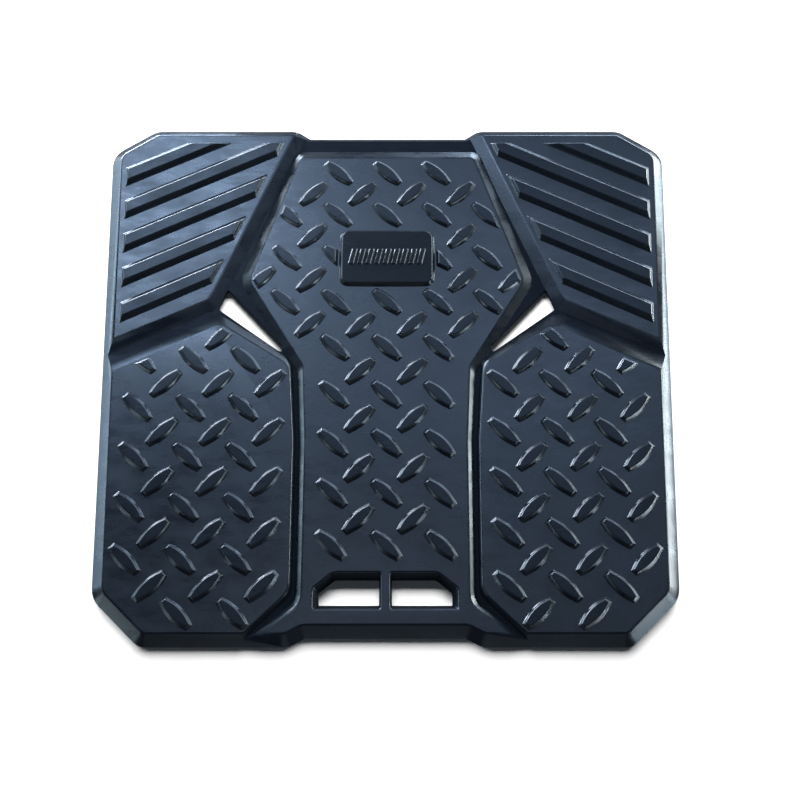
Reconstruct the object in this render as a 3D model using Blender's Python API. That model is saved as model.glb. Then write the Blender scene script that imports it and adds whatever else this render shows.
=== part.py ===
"""Rubber foot mat with five raised panels, and the badge plate that sits in its pocket.

Frame: metres, Z up. The mat lies on Z = 0 with its origin at the centre of its footprint. +Y points
to the far end, where the ribbed panels are, and +X to the right. The plan is symmetric about X = 0,
apart from the lugs on the centre panel.
"""

import math
from collections import namedtuple

import bmesh
import bpy
from mathutils import Matrix, Vector

MM = 0.001

# Body
THICKNESS = 7.0 * MM  # floor to the top of the panels
VALLEY_FLOOR = 3.4 * MM  # height of the valleys between panels
EDGE_SLOPE = 1.23  # run per unit of height of the mat's outer edge
OVERSHOOT = 1.0 * MM  # how far a cutter runs past the face it cuts
CORNER_STEPS = 4  # segments in each rounded corner

# Lugs
LUG_PITCH = 40.0 * MM  # square grid; a second grid sits half a pitch off it
LUG_LENGTH = 28.5 * MM
LUG_WIDTH = 11.0 * MM  # across the middle
LUG_TIP = 6.0 * MM  # across each cut-off end
LUG_HEIGHT = 2.4 * MM
LUG_SLOPE = 0.6
LUG_STEPS = 4  # segments in each curved side
LUG_MARGIN = 2.5 * MM  # bare strip between a trimmed lug and its panel's edge
CENTRE_GRID = (0.0, 173.6 * MM)  # a lug's centre on the centre panel
CENTRE_LEAST_INSIDE = 5.0 * MM  # a lug's centre is at least this far inside its panel
CENTRE_LUGS_END = -150.0 * MM  # Y where the lugs stop, short of the slots
SIDE_GRID = (148.8 * MM, 2.8 * MM)  # a lug's centre on the right-hand side panel
SIDE_LEAST_INSIDE = 1.0 * MM
EDGE_LEAST_INSIDE = 8.0 * MM  # a lug's centre is at least this far inside the mat's top edge

# Ribs
RIB_COUNT = 5
RIB_PITCH = 32.2 * MM  # along Y
RIB_GRADE = 0.5  # climb along Y per unit of X, towards the middle
RIB_WIDTH = 10.4 * MM  # of the top face, along Y
RIB_HEIGHT = 3.4 * MM
RIB_SLOPE = 0.95  # of a rib's long sides
RIB_END_SLOPE = 0.5
RIB_MARGIN = 6.2 * MM  # bare strip between a rib's top face and its panel's edge
RIB_FAR_MARGIN = 9.8 * MM  # the same at the mat's far end
RIB_START = (210.0 * MM, 177.5 * MM)  # on the far edge of the first right-hand rib's top face
RIB_REACH = (30.0 * MM, 260.0 * MM)  # X range of a rib before it is trimmed

# Badge
BADGE_HALF_X = 38.2 * MM
BADGE_HALF_Y = 25.8 * MM
BADGE_CENTRE_Y = 92.9 * MM
BADGE_CORNER = 8.0 * MM
BADGE_PROUD = 3.0 * MM  # how far the plate stands above its panel
BADGE_SEAT = 1.2 * MM  # how deep the plate sits in its pocket
BADGE_SLOPE = 0.55
BADGE_CLEARANCE = 1.6 * MM  # bare strip between the plate and a trimmed lug
FIT_GAP = 0.3 * MM  # between the plate and its pocket
BAR_COUNT = 9
BAR_PITCH = 6.8 * MM
BAR_WIDTH = 3.2 * MM
BAR_LENGTH = 13.0 * MM
BAR_LEAN = 3.0 * MM  # how far a bar's far end sits to the right of its near end
BAR_HEIGHT = 0.8 * MM

# Underside
RELIEF_DEPTH = 2.0 * MM  # hollows under the panels
RELIEF_INSET = 5.0 * MM  # from a panel's top edge in to its hollow
RIM_WIDTH = 16.0 * MM  # flat band around the footprint
STUD_RADIUS = 4.5 * MM
STUD_SIDES = 6
STUD_WALL = 1.5 * MM  # least gap between a stud and the side of its hollow

# An outline is a counter-clockwise list of corners: x and y in millimetres, the corner's radius in
# millimetres, and the slope (outward run per unit of drop) of the wall that leaves the corner.
# A right half lists the corners on +X from the far end to the near end.

FOOTPRINT_RIGHT_HALF = [
    (64.8, 211.8, 5.0, EDGE_SLOPE),
    (76.0, 219.8, 14.0, EDGE_SLOPE),
    (194.0, 219.8, 14.0, EDGE_SLOPE),
    (228.9, 195.6, 18.0, EDGE_SLOPE),
    (211.3, -184.4, 20.0, EDGE_SLOPE),
    (174.8, -219.8, 13.0, EDGE_SLOPE),
    (68.8, -219.8, 14.0, EDGE_SLOPE),
    (57.2, -213.6, 5.0, EDGE_SLOPE),
]

# Panels run out past the footprint wherever the mat's own outer edge is their wall.

RIBBED_PANEL = [
    (63.1, 250.0, 1.0, 2.56),
    (136.4, 64.4, 5.0, 2.56),
    (140.8, 55.6, 5.0, 2.56),
    (260.0, -2.0, 1.0, 0.0),
    (260.0, 250.0, 1.0, 0.0),
]

SIDE_PANEL = [
    (260.0, -30.6, 1.0, 4.3),
    (128.8, 34.0, 9.0, 2.0),
    (74.8, -1.8, 12.0, 0.6),
    (70.4, -63.6, 30.0, 0.6),
    (69.4, -180.4, 14.0, 0.8),
    (139.0, -250.0, 1.0, 0.0),
    (260.0, -250.0, 1.0, 0.0),
]

CENTRE_PANEL_RIGHT_HALF = [
    (71.2, 189.0, 2.0, 2.15),
    (108.8, 72.8, 14.0, 1.9),
    (64.0, -1.8, 14.0, 1.45),
    (60.8, -63.6, 30.0, 1.45),
    (60.1, -189.5, 14.0, 1.45),
    (135.9, -250.0, 1.0, 0.0),
]
CENTRE_FAR_SLOPE = 2.2

WINDOW = [
    (126.0, 67.0, 1.5, 0.1),
    (81.0, 16.6, 2.5, 0.1),
    (81.6, 10.6, 2.5, 0.1),
    (132.4, 48.7, 1.5, 0.1),
]

SLOT = [
    (3.2, -194.0, 1.5, -0.64),
    (52.4, -194.0, 1.5, -0.64),
    (52.4, -178.3, 4.0, -0.64),
    (38.0, -166.4, 9.0, -0.64),
    (3.2, -166.4, 1.5, -0.2),
]

# The underside is left flat around the slots.
SLOT_SURROUND = [
    (-72.0, -250.0, 1.0, 0.0),
    (72.0, -250.0, 1.0, 0.0),
    (72.0, -154.0, 1.0, 0.0),
    (-72.0, -154.0, 1.0, 0.0),
]

# A block that covers the whole mat, from which the valleys' shape is made.
COVER = [
    (-300.0, -300.0, 1.0, 0.0),
    (300.0, -300.0, 1.0, 0.0),
    (300.0, 300.0, 1.0, 0.0),
    (-300.0, 300.0, 1.0, 0.0),
]

Corner = namedtuple("Corner", "point radius slope")


# Outlines


def metres(rows):
    return [Corner(Vector((x, y)) * MM, radius * MM, slope) for x, y, radius, slope in rows]


def mirrored(outline):
    """The same outline on the other side of X = 0."""
    result = []
    for index in reversed(range(len(outline))):
        x, y = outline[index].point
        result.append(Corner(Vector((-x, y)), outline[index].radius, outline[index - 1].slope))
    return result


def both_halves(right_half, far_slope):
    """A symmetric outline from its right half and the slope of its far edge, which crosses X = 0."""
    left = [Corner(Vector((-point.x, point.y)), radius, slope) for point, radius, slope in right_half]
    slopes = [far_slope] + [corner.slope for corner in right_half[:-1]]
    right = [Corner(corner.point, corner.radius, slope) for corner, slope in zip(right_half, slopes)]
    return right[::-1] + left


def rectangle(centre, half_x, half_y, radius, slope, lean=0.0):
    """A rectangle, whose far side is shifted along X by lean."""
    corners = []
    for side_x, side_y in [(-1, -1), (1, -1), (1, 1), (-1, 1)]:
        shift = Vector((side_x * half_x + side_y * lean / 2, side_y * half_y))
        corners.append(Corner(Vector(centre) + shift, radius, slope))
    return corners


def edge_lines(outline):
    """Start, end and outward normal of each edge."""
    lines = []
    for index, corner in enumerate(outline):
        start = corner.point
        end = outline[(index + 1) % len(outline)].point
        along = (end - start).normalized()
        lines.append((start, end, Vector((along.y, -along.x))))
    return lines


def offset(outline, distances):
    """The outline after each edge has moved outwards by its own distance."""
    lines = edge_lines(outline)
    moved = []
    for index, (start, end, outward) in enumerate(lines):
        start_before, _, outward_before = lines[index - 1]
        along = (end - start).normalized()
        on_this = start + outward * distances[index]
        on_before = start_before + outward_before * distances[index - 1]
        slide = (on_before - on_this).dot(outward_before) / along.dot(outward_before)
        bend = math.copysign(1.0, outward_before.cross(outward))
        growth = bend * (distances[index - 1] + distances[index]) / 2
        radius = max(outline[index].radius + growth, 0.4 * MM)
        moved.append(Corner(on_this + along * slide, radius, outline[index].slope))
    return moved


def inset(outline, distance):
    return offset(outline, [-distance] * len(outline))


def dropped(outline, drop):
    """The outline where its sloping walls have come down by drop."""
    return offset(outline, [corner.slope * drop for corner in outline])


def rounded_loop(outline):
    """The outline as a loop of points, with an arc at each corner."""
    loop = []
    for index, corner in enumerate(outline):
        to_before = outline[index - 1].point - corner.point
        to_after = outline[(index + 1) % len(outline)].point - corner.point
        half_angle = to_before.angle(to_after) / 2
        most_reach = 0.45 * min(to_before.length, to_after.length)
        reach = min(corner.radius / math.tan(half_angle), most_reach)
        middle = (to_before.normalized() + to_after.normalized()).normalized()
        from_centre = -middle * reach / math.cos(half_angle)
        start = from_centre + to_before.normalized() * reach
        end = from_centre + to_after.normalized() * reach
        sweep = math.atan2(start.cross(end), start.dot(end))
        for step in range(CORNER_STEPS + 1):
            turn = Matrix.Rotation(sweep * step / CORNER_STEPS, 2)
            loop.append(corner.point - from_centre + turn @ start)
    return loop


def distance_to(point, start, end):
    """Distance from a point to the segment between start and end."""
    span = end - start
    share = min(max((point - start).dot(span) / span.length_squared, 0.0), 1.0)
    return (point - start - span * share).length


def depth_inside(point, outline):
    """Distance from a point to the nearest edge, negative when the point is outside."""
    inside = False
    nearest = math.inf
    for start, end, _ in edge_lines(outline):
        nearest = min(nearest, distance_to(point, start, end))
        if (start.y > point.y) != (end.y > point.y):
            share = (point.y - start.y) / (end.y - start.y)
            if point.x < start.x + share * (end.x - start.x):
                inside = not inside
    return nearest if inside else -nearest


# Solids


def add_loft(builder, low_loop, high_loop, z_low, z_high):
    """Add a closed solid between two loops that have the same number of points."""
    low = [builder.verts.new((x, y, z_low)) for x, y in low_loop]
    high = [builder.verts.new((x, y, z_high)) for x, y in high_loop]
    builder.faces.new(list(reversed(low)))
    builder.faces.new(high)
    for index in range(len(low)):
        after = (index + 1) % len(low)
        builder.faces.new((low[index], low[after], high[after], high[index]))


def add_solid(builder, outline, z_outline, z_low, z_high):
    """Add a solid with the outline's sloping walls, where z_outline is the outline's own height."""
    low_loop = rounded_loop(dropped(outline, z_outline - z_low))
    high_loop = rounded_loop(dropped(outline, z_outline - z_high))
    add_loft(builder, low_loop, high_loop, z_low, z_high)


def trim(piece, point, outward, slope):
    """Cut a convex piece with a plane that leans in as it rises, and close the cut."""
    normal = Vector((outward.x, outward.y, slope)).normalized()
    geometry = piece.verts[:] + piece.edges[:] + piece.faces[:]
    bmesh.ops.bisect_plane(
        piece, geom=geometry, dist=1e-7, plane_co=point, plane_no=normal, clear_outer=True
    )
    open_edges = [edge for edge in piece.edges if edge.is_boundary]
    if open_edges:
        bmesh.ops.contextual_create(piece, geom=open_edges)


def trim_to_edge(piece, edge, margin, z, slope):
    """Trim a piece so that it stays a margin inside an outline's edge at height z."""
    start, _, outward = edge
    limit = start - outward * margin
    trim(piece, (limit.x, limit.y, z), outward, slope)


def add_piece(builder, piece):
    """Move a finished piece into a bigger mesh."""
    carrier = bpy.data.meshes.new("carrier")
    piece.to_mesh(carrier)
    piece.free()
    builder.from_mesh(carrier)
    bpy.data.meshes.remove(carrier)


def add_object(name, builder):
    bmesh.ops.recalc_face_normals(builder, faces=builder.faces)
    mesh = bpy.data.meshes.new(name)
    builder.to_mesh(mesh)
    builder.free()
    built = bpy.data.objects.new(name, mesh)
    bpy.context.scene.collection.objects.link(built)
    return built


def add_cutter(name, builder):
    cutter = add_object(name, builder)
    cutter.hide_render = True
    cutter.display_type = "WIRE"
    return cutter


def combine(target, operation, other):
    step = target.modifiers.new(other.name, "BOOLEAN")
    step.operation = operation
    step.object = other
    step.solver = "EXACT"


def paint(target, name, colour, roughness):
    material = bpy.data.materials.new(name)
    material.use_nodes = True
    shader = material.node_tree.nodes["Principled BSDF"]
    shader.inputs["Base Color"].default_value = (*colour, 1.0)
    shader.inputs["Roughness"].default_value = roughness
    shader.inputs["Metallic"].default_value = 0.0
    target.data.materials.append(material)


# Lugs and ribs


def lug_loop(grown):
    """A lens with cut-off ends, lying along X, grown outwards on all sides."""
    half_length = LUG_LENGTH / 2 + grown
    half_tip = LUG_TIP / 2 + grown
    bulge = (LUG_WIDTH - LUG_TIP) / 2
    arc_radius = (half_length**2 + bulge**2) / (2 * bulge)
    loop = []
    for side in (-1, 1):
        for step in range(LUG_STEPS + 1):
            x = side * half_length * (2 * step / LUG_STEPS - 1)
            rise = math.sqrt(arc_radius**2 - x**2) - (arc_radius - bulge)
            loop.append(Vector((-x, side * (half_tip + rise))))
    return loop


def lug(centre, lean):
    """A lug at 45 degrees that climbs along +X when lean is 1 and falls when it is -1."""
    piece = bmesh.new()
    low_loop = lug_loop(LUG_SLOPE * OVERSHOOT)
    high_loop = lug_loop(-LUG_SLOPE * LUG_HEIGHT)
    add_loft(piece, low_loop, high_loop, THICKNESS - OVERSHOOT, THICKNESS + LUG_HEIGHT)
    turn = Matrix.Rotation(lean * math.radians(45), 4, "Z")
    place = Matrix.Translation((centre.x, centre.y, 0))
    bmesh.ops.transform(piece, matrix=place @ turn, verts=piece.verts)
    return piece


def lug_places(grid, lean, panel, mat_top, least_inside):
    """Centres and leans of a panel's lugs; those half a pitch off the grid lean the other way."""
    places = []
    reach = 10  # rows and columns each way, more than the mat holds
    for half_row in range(-2 * reach, 2 * reach + 1):
        is_off_grid = half_row % 2
        for column in range(-reach, reach + 1):
            step = Vector((column + is_off_grid / 2, half_row / 2))
            centre = Vector(grid) + step * LUG_PITCH
            on_panel = depth_inside(centre, panel) > least_inside
            on_mat = depth_inside(centre, mat_top) > EDGE_LEAST_INSIDE
            if on_panel and on_mat:
                places.append((centre, -lean if is_off_grid else lean))
    return places


def add_lug(builder, centre, lean, panel):
    """Add a lug, trimmed where it would reach its panel's edge."""
    piece = lug(centre, lean)
    for edge in edge_lines(panel):
        if distance_to(centre, edge[0], edge[1]) < LUG_LENGTH / 2 + LUG_MARGIN:
            trim_to_edge(piece, edge, LUG_MARGIN, THICKNESS, LUG_SLOPE)
    add_piece(builder, piece)


def add_centre_lugs(builder, panel, mat_top, badge):
    """The centre panel's lugs, which stop short of the slots and make room for the badge."""
    for centre, lean in lug_places(CENTRE_GRID, -1, panel, mat_top, CENTRE_LEAST_INSIDE):
        if centre.y < CENTRE_LUGS_END or depth_inside(centre, badge) > 0:
            continue
        if depth_inside(centre, badge) < -LUG_TIP:
            add_lug(builder, centre, lean, panel)
            continue
        piece = lug(centre, lean)
        side = math.copysign(1.0, centre.x)
        limit = side * (BADGE_HALF_X + BADGE_CLEARANCE)
        trim(piece, (limit, 0, THICKNESS), Vector((-side, 0)), LUG_SLOPE)
        add_piece(builder, piece)


def rib(index, panel, mat_top):
    """A right-hand rib, trimmed to its panel; the first is the farthest."""
    far_y = RIB_START[1] - index * RIB_PITCH
    corners = []
    for x, setback in zip(RIB_REACH + RIB_REACH[::-1], (RIB_WIDTH, RIB_WIDTH, 0.0, 0.0)):
        y = far_y + RIB_GRADE * (RIB_START[0] - x) - setback
        corners.append(Corner(Vector((x, y)), 0.0, RIB_SLOPE))
    foot = dropped(corners, RIB_HEIGHT + OVERSHOOT)
    rib_top = THICKNESS + RIB_HEIGHT
    piece = bmesh.new()
    low_loop = [corner.point for corner in foot]
    high_loop = [corner.point for corner in corners]
    add_loft(piece, low_loop, high_loop, THICKNESS - OVERSHOOT, rib_top)
    bounds = [edge for edge in edge_lines(mat_top) if is_over(edge, panel)]
    for edge in edge_lines(panel) + bounds:
        margin = RIB_FAR_MARGIN if edge[2].y > 0.5 else RIB_MARGIN
        trim_to_edge(piece, edge, margin, rib_top, RIB_END_SLOPE)
    return piece


def is_over(edge, panel):
    """Whether either end of an edge is well inside a panel."""
    return max(depth_inside(edge[0], panel), depth_inside(edge[1], panel)) > EDGE_LEAST_INSIDE


def mirror_piece(piece):
    flipped = piece.copy()
    bmesh.ops.scale(flipped, vec=(-1, 1, 1), verts=flipped.verts)
    bmesh.ops.reverse_faces(flipped, faces=flipped.faces)
    return flipped


def add_tread(ribbed, side, centre, mat_top, badge):
    """All the lugs and ribs, as separate closed pieces in one mesh."""
    builder = bmesh.new()
    for place, lean in lug_places(SIDE_GRID, 1, side, mat_top, SIDE_LEAST_INSIDE):
        add_lug(builder, place, lean, side)
        add_lug(builder, Vector((-place.x, place.y)), -lean, mirrored(side))
    add_centre_lugs(builder, centre, mat_top, badge)
    for index in range(RIB_COUNT):
        piece = rib(index, ribbed, mat_top)
        add_piece(builder, mirror_piece(piece))
        add_piece(builder, piece)
    return add_cutter("tread", builder)


# Body


def add_valleys(panels):
    """What is missing between the panels: a layer over the whole mat, less the panels."""
    layer = bmesh.new()
    add_solid(layer, metres(COVER), 0, VALLEY_FLOOR, THICKNESS + OVERSHOOT)
    valleys = add_cutter("valleys", layer)
    for panel in panels:
        block = bmesh.new()
        add_solid(block, panel, THICKNESS, VALLEY_FLOOR - OVERSHOOT, THICKNESS + 2 * OVERSHOOT)
        combine(valleys, "DIFFERENCE", add_cutter("panel_block", block))
    return valleys


def add_openings():
    """The two windows between the panels and the two slots near the edge."""
    builder = bmesh.new()
    window = metres(WINDOW)
    slot = metres(SLOT)
    for shape in (window, mirrored(window)):
        add_solid(builder, shape, VALLEY_FLOOR, -OVERSHOOT, THICKNESS + OVERSHOOT)
    for shape in (slot, mirrored(slot)):
        add_solid(builder, shape, THICKNESS, -OVERSHOOT, THICKNESS + OVERSHOOT)
    return add_cutter("openings", builder)


def add_pocket(badge):
    builder = bmesh.new()
    floor = THICKNESS - BADGE_SEAT - FIT_GAP
    loop = rounded_loop(inset(badge, -FIT_GAP))
    add_loft(builder, loop, loop, floor, THICKNESS + OVERSHOOT)
    return add_cutter("pocket", builder)


def add_relief(footprint, panels):
    """The hollows under the panels, less the studs that stand in them."""
    hollow_top = RELIEF_DEPTH + OVERSHOOT
    zones = bmesh.new()
    inner_panels = [inset(panel, RELIEF_INSET) for panel in panels]
    for panel in inner_panels:
        loop = rounded_loop(panel)
        add_loft(zones, loop, loop, -2 * OVERSHOOT, hollow_top)
    hollow_zones = add_cutter("hollow_zones", zones)
    solid = bmesh.new()
    inner_footprint = inset(footprint, RIM_WIDTH)
    studs_half = 5
    for row in range(-studs_half, studs_half + 1):
        for column in range(-studs_half, studs_half + 1):
            place = Vector((column, row)) * LUG_PITCH
            depth = max(depth_inside(place, panel) for panel in inner_panels)
            depth = min(depth, depth_inside(place, inner_footprint))
            depth = min(depth, -depth_inside(place, metres(SLOT_SURROUND)))
            if depth > STUD_RADIUS + STUD_WALL:
                add_stud(solid, place, hollow_top)
    add_solid(solid, metres(SLOT_SURROUND), 0, -2 * OVERSHOOT, hollow_top)
    kept = add_cutter("studs_and_surround", solid)
    hollow = bmesh.new()
    loop = rounded_loop(inner_footprint)
    add_loft(hollow, loop, loop, -OVERSHOOT, RELIEF_DEPTH)
    relief = add_cutter("relief", hollow)
    combine(relief, "INTERSECT", hollow_zones)
    combine(relief, "DIFFERENCE", kept)
    return relief


def add_stud(builder, place, top):
    angles = [math.tau * (side + 0.5) / STUD_SIDES for side in range(STUD_SIDES)]
    loop = [place + Vector((math.cos(angle), math.sin(angle))) * STUD_RADIUS for angle in angles]
    add_loft(builder, loop, loop, -2 * OVERSHOOT, top)


def build_mat(badge):
    footprint = both_halves(metres(FOOTPRINT_RIGHT_HALF), EDGE_SLOPE)
    mat_top = dropped(footprint, -THICKNESS)
    ribbed = metres(RIBBED_PANEL)
    side = metres(SIDE_PANEL)
    centre = both_halves(metres(CENTRE_PANEL_RIGHT_HALF), CENTRE_FAR_SLOPE)
    panels = [ribbed, mirrored(ribbed), side, mirrored(side), centre]
    builder = bmesh.new()
    add_solid(builder, footprint, 0, 0, THICKNESS)
    mat = add_object("mat_body", builder)
    combine(mat, "DIFFERENCE", add_valleys(panels))
    combine(mat, "UNION", add_tread(ribbed, side, centre, mat_top, badge))
    combine(mat, "DIFFERENCE", add_openings())
    combine(mat, "DIFFERENCE", add_pocket(badge))
    combine(mat, "DIFFERENCE", add_relief(footprint, panels))
    paint(mat, "black_rubber", (0.022, 0.027, 0.036), 0.5)


def build_badge(badge):
    """The plate, with a plain row of leaning bars in relief on its face."""
    builder = bmesh.new()
    plate_top = THICKNESS + BADGE_PROUD
    add_solid(builder, badge, THICKNESS - BADGE_SEAT, THICKNESS - BADGE_SEAT, plate_top)
    plate = add_object("badge_plate", builder)
    bars = bmesh.new()
    for index in range(BAR_COUNT):
        x = (index - (BAR_COUNT - 1) / 2) * BAR_PITCH
        bar = rectangle((x, BADGE_CENTRE_Y), BAR_WIDTH / 2, BAR_LENGTH / 2, 0.5 * MM, 0.3, BAR_LEAN)
        top = plate_top + BAR_HEIGHT
        low_loop = [corner.point for corner in dropped(bar, BAR_HEIGHT + OVERSHOOT)]
        high_loop = [corner.point for corner in bar]
        add_loft(bars, low_loop, high_loop, plate_top - OVERSHOOT, top)
    combine(plate, "UNION", add_cutter("badge_bars", bars))
    paint(plate, "black_plate", (0.016, 0.018, 0.022), 0.4)


def main():
    for existing in list(bpy.data.objects):
        bpy.data.objects.remove(existing)
    badge = rectangle((0.0, BADGE_CENTRE_Y), BADGE_HALF_X, BADGE_HALF_Y, BADGE_CORNER, BADGE_SLOPE)
    build_mat(badge)
    build_badge(badge)


main()
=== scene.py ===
"""The looks of the rubber foot mat: moulded edges, satin black rubber, studio light and camera.

Everything is in metres in the part's own frame: the mat lies on Z = 0, +Y is the ribbed far end.
"""

import math

import bmesh
import bpy
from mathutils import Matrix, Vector


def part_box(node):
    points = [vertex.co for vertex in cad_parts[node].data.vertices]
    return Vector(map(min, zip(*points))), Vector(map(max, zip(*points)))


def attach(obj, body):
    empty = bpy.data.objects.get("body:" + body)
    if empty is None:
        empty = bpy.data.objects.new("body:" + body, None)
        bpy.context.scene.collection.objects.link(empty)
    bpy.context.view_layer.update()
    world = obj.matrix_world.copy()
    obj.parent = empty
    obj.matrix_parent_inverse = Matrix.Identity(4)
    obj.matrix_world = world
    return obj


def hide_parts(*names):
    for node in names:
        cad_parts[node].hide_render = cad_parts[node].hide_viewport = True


MM = 0.001

# Heights in the part
UNDERSIDE_TOP = 2.5 * MM  # above the hollows of the underside
PANEL_TOP = 7.0 * MM
LUG_TOP = 9.4 * MM
RIB_TOP = 10.4 * MM
BAR_HEIGHT = 0.8 * MM  # of a bar above the badge's plate

# Reading the part's mesh
TOUCH = 0.01 * MM  # two heights closer than this are the same
WELD = 0.02 * MM  # points closer than this are one
SHORTEST_EDGE = 0.4 * MM  # a shorter edge is left out
FLAT_ANGLE = math.radians(0.6)  # faces or sides that turn less are one
EDGE_ANGLE = math.radians(14)  # faces that turn more meet at a hard edge
SHARP_TURN = math.radians(25)  # sides that turn more meet at a sharp corner

# Moulded edges
RIM_ROUNDING = 1.0 * MM
TREAD_ROUNDING = 0.75 * MM
BADGE_ROUNDING = 0.8 * MM
BAR_ROUNDING = 0.15 * MM
ROUNDING_STEPS = 4
CORNER_RADIUS = 0.8 * MM
CORNER_SHARE = 0.4  # the most of a side that a sharp corner's curve takes up
CORNER_STEPS = 3  # segments in a sharp corner's curve
CURVE_STEPS = 3  # points on a slight corner's curve
FOOT_FLARE = 0.6 * MM  # how far a foot spreads over the face it stands on
FOOT_RISE = 0.7 * MM  # how high that spread starts
FOOT_DEPTH = 1.0 * MM  # how far a foot runs on below that face

# Rubber
CLOUD_SIZE = 45 * MM  # of the faint clouds of colour
WIPE_SIZE = 16 * MM  # of the marks where the roughness differs
WIPE_STRETCH = (1.8, 0.7, 1.0)
SWELL_SIZE = 14 * MM  # of the slow waves in the surface
SWELL_DEPTH = 0.05 * MM
GRAIN_SIZE = 0.55 * MM
GRAIN_DEPTH = 0.03 * MM
WALL_GRAIN = 0.15  # share of the grain's depth on a wall
PANEL_GRAIN = 0.4  # the same on a panel; a lug's top has all of it
LEVEL_UPWARD = (0.93, 0.99)  # upward share of a wall's normal, and of a level face's
VALLEY_HEIGHTS = (5.5 * MM, 6.7 * MM)  # from a valley's shine to a panel's
TOP_HEIGHTS = (8.6 * MM, 9.0 * MM)  # from a panel's shine to a lug top's
GRAIN_HEIGHTS = (8.6 * MM, 9.3 * MM)  # from a panel's grain to a lug top's
REFRACTIVE_INDEX = 1.52
NOISE_RANGE = (0.3, 0.7)  # what most of a noise texture's values lie between

# Camera
CAMERA_PLACE = (0.0104, -0.4456, 0.9294)
CAMERA_TILT = math.radians(24.2)  # from straight down
LENS = 59.85  # mm
SENSOR = 36.0  # mm

# Studio
LIGHT_DISTANCE = 1.6  # from a softbox to the mat's centre
CARD_HEIGHT = 1.0 * MM
FLOOR_HALF = 4.0  # half the floor's side
FLOOR_TO_CAMERA = (0.9, 0.9, 0.9)
FLOOR_TO_RUBBER = (0.04, 0.04, 0.04)
SURROUNDINGS = (0.8, 0.9, 1.0, 1.0)
SURROUNDINGS_LIGHT = 0.04
SURROUNDINGS_TO_CAMERA = 0.95

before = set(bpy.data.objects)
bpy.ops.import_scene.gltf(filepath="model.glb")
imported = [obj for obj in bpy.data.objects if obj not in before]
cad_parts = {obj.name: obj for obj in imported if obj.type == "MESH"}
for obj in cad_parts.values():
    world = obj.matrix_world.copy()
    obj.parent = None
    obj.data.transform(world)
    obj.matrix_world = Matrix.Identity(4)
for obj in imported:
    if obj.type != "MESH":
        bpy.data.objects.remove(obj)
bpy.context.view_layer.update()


# Materials


class Nodes:
    """Short calls for building one material's node tree."""

    def __init__(self, name):
        self.material = bpy.data.materials.new(name)
        self.material.use_nodes = True
        self.tree = self.material.node_tree
        self.shader = self.tree.nodes["Principled BSDF"]
        self.place = self.add("ShaderNodeTexCoord").outputs["Object"]

    def add(self, kind, **settings):
        node = self.tree.nodes.new(kind)
        for key, value in settings.items():
            setattr(node, key, value)
        return node

    def join(self, source, target):
        self.tree.links.new(source, target)

    def noise(self, size, detail, roughness=0.5, stretch=(1, 1, 1)):
        """Noise whose lumps are about size across, stretched along the axes."""
        mapping = self.add("ShaderNodeMapping")
        mapping.inputs["Scale"].default_value = [1 / (size * share) for share in stretch]
        node = self.add("ShaderNodeTexNoise")
        node.inputs["Scale"].default_value = 1.0
        node.inputs["Detail"].default_value = detail
        node.inputs["Roughness"].default_value = roughness
        self.join(self.place, mapping.inputs["Vector"])
        self.join(mapping.outputs["Vector"], node.inputs["Vector"])
        return node.outputs["Fac"]

    def spread(self, value, low, high, between=NOISE_RANGE):
        """A number that goes from low to high as value crosses a range, and stays there beyond it."""
        node = self.add("ShaderNodeMapRange")
        node.inputs["From Min"].default_value = between[0]
        node.inputs["From Max"].default_value = between[1]
        node.inputs["To Min"].default_value = low
        node.inputs["To Max"].default_value = high
        self.join(value, node.inputs["Value"])
        return node.outputs["Result"]

    def mix(self, share, first, second):
        """A colour that goes from first, where share is 0, to second, where it is 1."""
        node = self.add("ShaderNodeMix", data_type="RGBA")
        node.inputs["A"].default_value = (*first, 1.0)
        node.inputs["B"].default_value = (*second, 1.0)
        self.join(share, node.inputs["Factor"])
        return node.outputs["Result"]

    def upward(self, vector):
        """A vector's share along +Z."""
        node = self.add("ShaderNodeSeparateXYZ")
        self.join(vector, node.inputs["Vector"])
        return node.outputs["Z"]

    def sum(self, first, second):
        node = self.add("ShaderNodeMath", operation="ADD")
        self.join(first, node.inputs[0])
        self.join(second, node.inputs[1])
        return node.outputs["Value"]

    def blend(self, share, plain, varied):
        """A number that goes from plain, where share is 0, to varied, where it is 1."""
        node = self.add("ShaderNodeMix", data_type="FLOAT")
        self.join(share, node.inputs["Factor"])
        node.inputs["A"].default_value = plain
        self.join(varied, node.inputs["B"])
        return node.outputs["Result"]

    def bump(self, height, depth, under=None):
        """A normal tilted by a bumpy height, on top of the bumps under it."""
        node = self.add("ShaderNodeBump")
        node.inputs["Strength"].default_value = 1.0
        node.inputs["Distance"].default_value = depth
        self.join(height, node.inputs["Height"])
        if under:
            self.join(under, node.inputs["Normal"])
        return node.outputs["Normal"]


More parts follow.
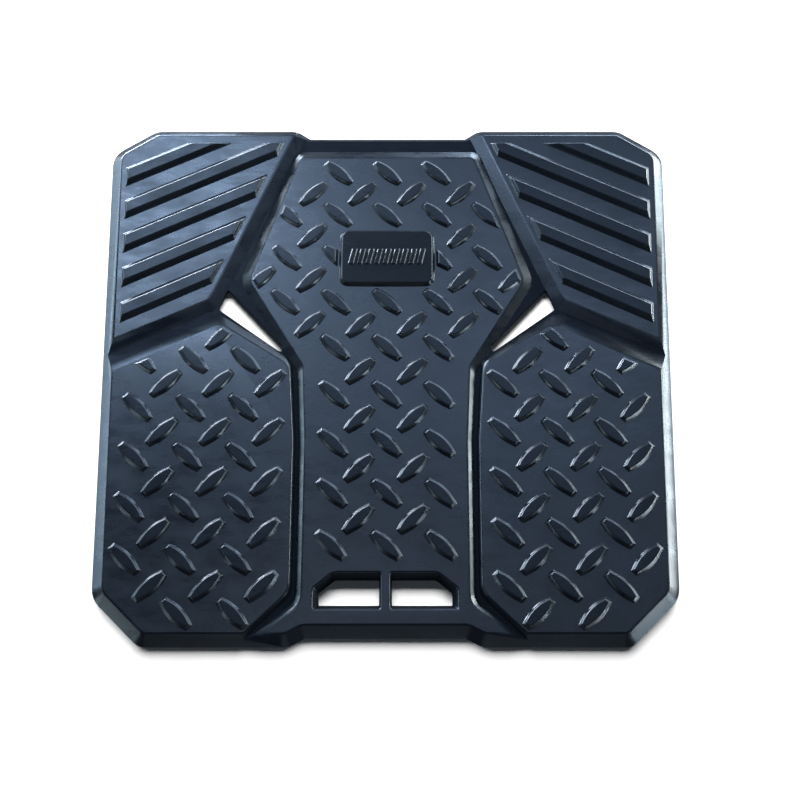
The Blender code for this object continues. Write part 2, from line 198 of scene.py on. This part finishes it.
def rubber_material(name, dark, light, roughness, shine, top_shine, valley_shine):
    """Satin moulded rubber with wipe marks, grained lug tops and dull valley floors."""
    nodes = Nodes(name)
    inputs = nodes.shader.inputs
    height = nodes.upward(nodes.place)
    normal = nodes.add("ShaderNodeNewGeometry").outputs["Normal"]
    level = nodes.spread(nodes.upward(normal), 0, 1, LEVEL_UPWARD)

    cloud = nodes.noise(CLOUD_SIZE, detail=5.0, roughness=0.6)
    nodes.join(nodes.mix(nodes.spread(cloud, 0, 1), dark, light), inputs["Base Color"])
    wipe = nodes.noise(WIPE_SIZE, detail=4.0, roughness=0.6, stretch=WIPE_STRETCH)
    nodes.join(nodes.spread(wipe, *roughness), inputs["Roughness"])

    valley_to_panel = nodes.spread(height, valley_shine, shine, VALLEY_HEIGHTS)
    panel_to_top = nodes.spread(height, 0.0, top_shine - shine, TOP_HEIGHTS)
    level_shine = nodes.sum(valley_to_panel, panel_to_top)
    nodes.join(nodes.blend(level, shine, level_shine), inputs["Specular IOR Level"])
    inputs["IOR"].default_value = REFRACTIVE_INDEX

    level_grain = nodes.spread(height, PANEL_GRAIN, 1.0, GRAIN_HEIGHTS)
    grain = nodes.bump(nodes.noise(GRAIN_SIZE, detail=2.0), GRAIN_DEPTH)
    nodes.join(nodes.blend(level, WALL_GRAIN, level_grain), grain.node.inputs["Strength"])
    swell = nodes.bump(nodes.noise(SWELL_SIZE, detail=1.0), SWELL_DEPTH, under=grain)
    nodes.join(swell, inputs["Normal"])
    return nodes.material


def floor_material():
    """White to the camera and dark to the rubber, which would mirror a white floor in its walls."""
    nodes = Nodes("studio_floor")
    rays = nodes.add("ShaderNodeLightPath")
    shade = nodes.mix(rays.outputs["Is Camera Ray"], FLOOR_TO_RUBBER, FLOOR_TO_CAMERA)
    nodes.join(shade, nodes.shader.inputs["Base Color"])
    nodes.shader.inputs["Roughness"].default_value = 0.9
    nodes.shader.inputs["Specular IOR Level"].default_value = 0.0
    return nodes.material


# The mat and the badge


def all_at(item, height):
    """Whether every point of a face or an edge is at a height."""
    return all(abs(vert.co.z - height) < TOUCH for vert in item.verts)


def lowest(item):
    """The height of a face's or an edge's lowest point."""
    return min(vert.co.z for vert in item.verts)


def is_tread(face):
    """Whether a face belongs to a lug or a rib, which stand on a panel's top."""
    highest = max(vert.co.z for vert in face.verts)
    return lowest(face) > PANEL_TOP - TOUCH and highest > PANEL_TOP + TOUCH


def is_pocket(face, low, high):
    """Whether a face belongs to the pocket of the badge, whose box goes from low to high."""
    for vert in face.verts:
        if abs(vert.co.x) > high.x + MM or not low.y - MM < vert.co.y < high.y + MM:
            return False
    return low.z - MM < lowest(face) < PANEL_TOP - TOUCH


def cad_copy(node):
    """A copy of a node's mesh that can be edited."""
    builder = bmesh.new()
    builder.from_mesh(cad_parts[node].data)
    bmesh.ops.remove_doubles(builder, verts=builder.verts, dist=WELD)
    return builder


def tidy_above(builder, height):
    """Join coplanar triangles into whole faces and drop edges too short to be rounded."""
    high = [vert for vert in builder.verts if vert.co.z > height]
    bmesh.ops.remove_doubles(builder, verts=high, dist=SHORTEST_EDGE)
    high = [vert for vert in builder.verts if vert.co.z > height]
    edges = [edge for edge in builder.edges if lowest(edge) > height]
    bmesh.ops.dissolve_limit(builder, angle_limit=FLAT_ANGLE, verts=high, edges=edges)


def mark_edges(builder):
    """Give a bevel weight to the rims of the panels' tops, and keep the other hard edges sharp."""
    weights = builder.edges.layers.float.new("bevel_weight_edge")
    for edge in builder.edges:
        if edge.calc_face_angle() < EDGE_ANGLE:
            continue
        if all_at(edge, PANEL_TOP):
            edge[weights] = 1.0
        else:
            edge.smooth = False


def body_solid():
    """The mat without its lugs, its ribs and the badge's pocket, with the panels' tops made whole."""
    builder = cad_copy("mat_body")
    badge_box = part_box("badge_plate")
    loose = [
        face
        for face in builder.faces
        if is_tread(face) or all_at(face, PANEL_TOP) or is_pocket(face, *badge_box)
    ]
    bmesh.ops.delete(builder, geom=loose, context="FACES")
    tidy_above(builder, UNDERSIDE_TOP)
    rims = [edge for edge in builder.edges if edge.is_boundary]
    bmesh.ops.triangle_fill(builder, use_beauty=True, edges=rims, normal=(0, 0, 1))
    bmesh.ops.recalc_face_normals(builder, faces=builder.faces)
    mark_edges(builder)
    return builder


def top_outlines(builder, height):
    """Outlines at a height above walls that slope down and out, each a list of (point, slope).

    An outline is counter-clockwise, and a point's slope is that of the wall under the side that
    leaves it.
    """
    sides = {}
    for edge in builder.edges:
        if not all_at(edge, height):
            continue
        walls = [face for face in edge.link_faces if lowest(face) < height - TOUCH]
        if len(walls) == 1:
            out = walls[0].normal
            start, end = edge.verts
            along = end.co - start.co
            if along.y * out.x - along.x * out.y < 0:
                start, end = end, start
            sides[start] = (end, out.z / out.xy.length)
    outlines = []
    while sides:
        point = next(iter(sides))
        outline = []
        while point in sides:
            after, slope = sides.pop(point)
            outline.append((point.co.xy, slope))
            point = after
        outlines.append(without_short_sides(outline))
    return outlines


def with_one_slope(outline):
    """The outline with its least slope all round, because a lug's walls are alike."""
    least = min(slope for _, slope in outline)
    return [(point, least) for point, _ in outline]


def without_short_sides(outline):
    """The outline without the points that hardly turn it or start a very short side."""
    kept = []
    for index, (point, slope) in enumerate(outline):
        after = outline[(index + 1) % len(outline)][0]
        before = kept[-1][0] if kept else outline[-1][0]
        turn = abs((point - before).angle(after - point, 0.0))
        if (after - point).length > SHORTEST_EDGE and turn > FLAT_ANGLE:
            kept.append((point, slope))
    return kept


def moved_out(outline, run_per_slope, run):
    """The outline's corners after each side has moved out by its slope times a run, plus a run."""
    moved = []
    for index, (point, slope) in enumerate(outline):
        before, slope_before = outline[index - 1]
        after = outline[(index + 1) % len(outline)][0]
        along_before = (point - before).normalized()
        along = (after - point).normalized()
        out_before = Vector((along_before.y, -along_before.x))
        out = Vector((along.y, -along.x))
        on_before = point + out_before * (slope_before * run_per_slope + run)
        on_this = point + out * (slope * run_per_slope + run)
        slide = (on_before - on_this).dot(out_before) / along.dot(out_before)
        moved.append(on_this + along * slide)
    return moved


def sharp_corners(corners):
    """Whether each corner is sharp."""
    sharp = []
    for index, corner in enumerate(corners):
        before = corner - corners[index - 1]
        after = corners[(index + 1) % len(corners)] - corner
        sharp.append(abs(before.angle(after)) > SHARP_TURN)
    return sharp


def softened(corners, sharp):
    """A loop that rounds each sharp corner and runs as one curve through the slight ones."""
    loop = []
    for index, corner in enumerate(corners):
        to_before = corners[index - 1] - corner
        to_after = corners[(index + 1) % len(corners)] - corner
        if sharp[index]:
            half_angle = to_before.angle(to_after) / 2
            most_reach = CORNER_SHARE * min(to_before.length, to_after.length)
            reach = min(CORNER_RADIUS / math.tan(half_angle), most_reach)
            start = to_before.normalized() * reach
            end = to_after.normalized() * reach
            shares = [step / CORNER_STEPS for step in range(CORNER_STEPS + 1)]
        else:
            start = to_before / 2
            end = to_after / 2
            shares = [(step + 0.5) / CURVE_STEPS for step in range(CURVE_STEPS)]
        for share in shares:
            loop.append(corner + start * (1 - share) ** 2 + end * share**2)
    return loop


def moulded_rings(top, foot, rounding):
    """Each ring of a moulding, from below its foot to its top: height, run per slope and run."""
    rings = [(foot - FOOT_DEPTH, top - foot, FOOT_FLARE), (foot, top - foot, FOOT_FLARE)]
    for share in (0.5, 1.0):
        rise = foot + FOOT_RISE * share**2
        rings.append((rise, top - rise, FOOT_FLARE * (1 - share) ** 2))
    for step in range(ROUNDING_STEPS + 1):
        share = step / ROUNDING_STEPS
        drop = rounding * (1 - share) ** 2
        rings.append((top - drop, drop, -rounding * share**2))
    return rings


def add_moulding(builder, outline, top, foot, rounding):
    """Add a closed solid with rounded edges, from an outline's top down to the face it stands on."""
    sharp = sharp_corners([point for point, _ in outline])
    loops = []
    for height, run_per_slope, run in moulded_rings(top, foot, rounding):
        loop = softened(moved_out(outline, run_per_slope, run), sharp)
        loops.append([builder.verts.new((x, y, height)) for x, y in loop])
    for lower, upper in zip(loops, loops[1:]):
        for index in range(len(lower)):
            after = (index + 1) % len(lower)
            builder.faces.new((lower[index], lower[after], upper[after], upper[index]))
    builder.faces.new(list(reversed(loops[0])))
    builder.faces.new(loops[-1])


def tread_solid():
    """The lugs and the ribs, each a closed solid with a foot that flares out into its panel."""
    source = cad_copy("mat_body")
    builder = bmesh.new()
    for outline in top_outlines(source, LUG_TOP):
        add_moulding(builder, with_one_slope(outline), LUG_TOP, PANEL_TOP, TREAD_ROUNDING)
    for outline in top_outlines(source, RIB_TOP):
        add_moulding(builder, outline, RIB_TOP, PANEL_TOP, TREAD_ROUNDING)
    source.free()
    return builder


def badge_solid():
    """The plate and the bars on it."""
    source = cad_copy("badge_plate")
    bar_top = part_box("badge_plate")[1].z
    plate_top = bar_top - BAR_HEIGHT
    builder = bmesh.new()
    for outline in top_outlines(source, plate_top):
        add_moulding(builder, outline, plate_top, PANEL_TOP, BADGE_ROUNDING)
    for outline in top_outlines(source, bar_top):
        add_moulding(builder, outline, bar_top, plate_top, BAR_ROUNDING)
    source.free()
    return builder


def moulded_piece(name, builder, material):
    """A piece whose marked edges are rounded as a mould leaves them, shaded by its broad faces."""
    mesh = bpy.data.meshes.new(name)
    builder.to_mesh(mesh)
    builder.free()
    mesh.materials.append(material)
    mesh.shade_smooth()
    piece = bpy.data.objects.new(name, mesh)
    bpy.context.scene.collection.objects.link(piece)
    rounding = piece.modifiers.new("rounding", "BEVEL")
    rounding.width = RIM_ROUNDING
    rounding.segments = ROUNDING_STEPS
    rounding.limit_method = "WEIGHT"
    rounding.use_clamp_overlap = False
    rounding.loop_slide = False
    shading = piece.modifiers.new("shading", "WEIGHTED_NORMAL")
    shading.mode = "FACE_AREA_WITH_ANGLE"
    shading.keep_sharp = True
    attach(piece, "root")
    return piece


def build_object():
    """The mat, its tread and its badge, as three pieces that stand for the two CAD nodes."""
    rubber = rubber_material(
        "black_rubber",
        dark=(0.007, 0.009, 0.013),
        light=(0.012, 0.015, 0.021),
        roughness=(0.22, 0.36),
        shine=0.50,
        top_shine=0.20,
        valley_shine=0.06,
    )
    plate = rubber_material(
        "badge_rubber",
        dark=(0.007, 0.008, 0.010),
        light=(0.010, 0.012, 0.015),
        roughness=(0.24, 0.32),
        shine=0.40,
        top_shine=0.10,
        valley_shine=0.18,
    )
    body = moulded_piece("mat", body_solid(), rubber)
    tread = moulded_piece("mat_tread", tread_solid(), rubber)
    badge = moulded_piece("badge", badge_solid(), plate)
    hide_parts("mat_body")
    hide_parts("badge_plate")
    return [body, tread, badge]


# The studio


def add_floor():
    """The studio's floor, level with the mat's underside."""
    builder = bmesh.new()
    corners = [(-FLOOR_HALF, -FLOOR_HALF), (FLOOR_HALF, -FLOOR_HALF)]
    corners += [(FLOOR_HALF, FLOOR_HALF), (-FLOOR_HALF, FLOOR_HALF)]
    builder.faces.new([builder.verts.new((x, y, 0.0)) for x, y in corners])
    mesh = bpy.data.meshes.new("floor")
    builder.to_mesh(mesh)
    builder.free()
    mesh.materials.append(floor_material())
    floor = bpy.data.objects.new("floor", mesh)
    bpy.context.scene.collection.objects.link(floor)
    return floor


def add_area_light(name, width, height, glow):
    """A glowing rectangle that the camera doesn't see. Its glow is in red, green and blue."""
    brightest = max(glow)
    data = bpy.data.lights.new(name, "AREA")
    data.shape = "RECTANGLE"
    data.size = width
    data.size_y = height
    data.color = [channel / brightest for channel in glow]
    data.energy = brightest * math.pi * width * height
    light = bpy.data.objects.new(name, data)
    bpy.context.scene.collection.objects.link(light)
    light.visible_camera = False
    return light


def add_softbox(name, bearing, rise, width, height, glow, distance=LIGHT_DISTANCE):
    """A light aimed at the mat's centre. Its bearing runs from +Y towards +X, in degrees."""
    softbox = add_area_light(name, width, height, glow)
    turn = math.radians(bearing)
    lift = math.radians(rise)
    flat = math.cos(lift)
    place = Vector((math.sin(turn) * flat, math.cos(turn) * flat, math.sin(lift))) * distance
    softbox.location = place
    softbox.rotation_euler = (-place).to_track_quat("-Z", "Y").to_euler()
    return softbox


def add_card(name, x, y, width, depth, glow):
    """A light that lies face up beside the mat and shows in the outer bevels."""
    card = add_area_light(name, width, depth, glow)
    card.location = (x, y, CARD_HEIGHT)
    card.rotation_euler = (math.pi, 0.0, 0.0)
    return card


def light_only(lights, name, objects):
    """Let the lights fall on these objects and on nothing else, by a collection of that name."""
    receivers = bpy.data.collections.new(name)
    for item in objects:
        receivers.objects.link(item)
    for light in lights:
        light.light_linking.receiver_collection = receivers


def add_lights(pieces):
    """The lights on the mat. Bearings and rises are in degrees, places and sizes in metres."""
    lights = [
        add_softbox("overhead", 9, 59, 0.95, 0.62, (1.1, 1.6, 2.45)),
        add_softbox("overhead_left", -28, 50, 0.5, 0.32, (8.0, 11.5, 17.0)),
        add_softbox("overhead_right", 60, 72, 0.4, 0.30, (0.5, 0.7, 1.0)),
        add_softbox("top", -50, 84, 0.6, 0.40, (0.75, 0.95, 1.25)),
        add_softbox("front", 180, 14, 0.9, 0.5, (0.5, 0.6, 0.7)),
        add_softbox("back_left_strip", -34, 5, 0.9, 0.22, (66.0, 77.0, 92.0)),
        add_softbox("left_strip", -66, 6, 1.2, 0.24, (7.0, 10.0, 13.0)),
        add_softbox("left_panel", -64, 16, 0.9, 0.24, (4.5, 6.4, 7.4)),
        add_softbox("back_right_strip", 24, 7, 1.0, 0.30, (13.0, 17.0, 22.0)),
        add_softbox("right_strip", 64, 4, 1.1, 0.16, (10.0, 13.0, 16.0)),
        add_softbox("right_panel", 64, 14, 0.9, 0.22, (24.0, 28.0, 29.0)),
        add_softbox("front_right_strip", 116, 3, 0.5, 0.16, (28.0, 36.0, 42.0)),
        add_softbox("front_left_strip", -116, 3, 0.5, 0.16, (10.5, 13.5, 15.5)),
        add_card("right_card", 0.40, 0.0, 0.32, 0.70, (34.0, 36.0, 36.0)),
        add_card("left_card", -0.40, 0.05, 0.32, 0.75, (0.3, 0.4, 0.6)),
        add_card("back_left_card", -0.20, 0.39, 0.14, 0.30, (18.0, 24.0, 32.0)),
    ]
    light_only(lights, "mat_only", pieces)


def add_floor_light(floor):
    """A light from behind that falls on the floor alone, where the mat casts a soft shadow."""
    softbox = add_softbox("floor_light", -4, 25, 2.0, 0.8, (50.0, 50.0, 50.0), distance=2.2)
    light_only([softbox], "floor_only", [floor])


def add_world():
    """Dim surroundings for the light, and pale ones for the camera."""
    world = bpy.data.worlds.new("studio")
    world.use_nodes = True
    tree = world.node_tree
    background = tree.nodes["Background"]
    background.inputs["Color"].default_value = SURROUNDINGS
    rays = tree.nodes.new("ShaderNodeLightPath")
    strength = tree.nodes.new("ShaderNodeMapRange")
    strength.inputs["To Min"].default_value = SURROUNDINGS_LIGHT
    strength.inputs["To Max"].default_value = SURROUNDINGS_TO_CAMERA
    tree.links.new(rays.outputs["Is Camera Ray"], strength.inputs["Value"])
    tree.links.new(strength.outputs["Result"], background.inputs["Strength"])
    bpy.context.scene.world = world


def add_camera():
    """The camera, which looks down at the mat from its near side."""
    data = bpy.data.cameras.new("camera")
    data.lens = LENS
    data.sensor_width = SENSOR
    camera = bpy.data.objects.new("camera", data)
    bpy.context.scene.collection.objects.link(camera)
    camera.location = CAMERA_PLACE
    camera.rotation_euler = (CAMERA_TILT, 0, 0)
    bpy.context.scene.camera = camera


add_lights(build_object())
add_floor_light(add_floor())
add_world()
add_camera()
bpy.context.scene.view_settings.view_transform = "Standard"
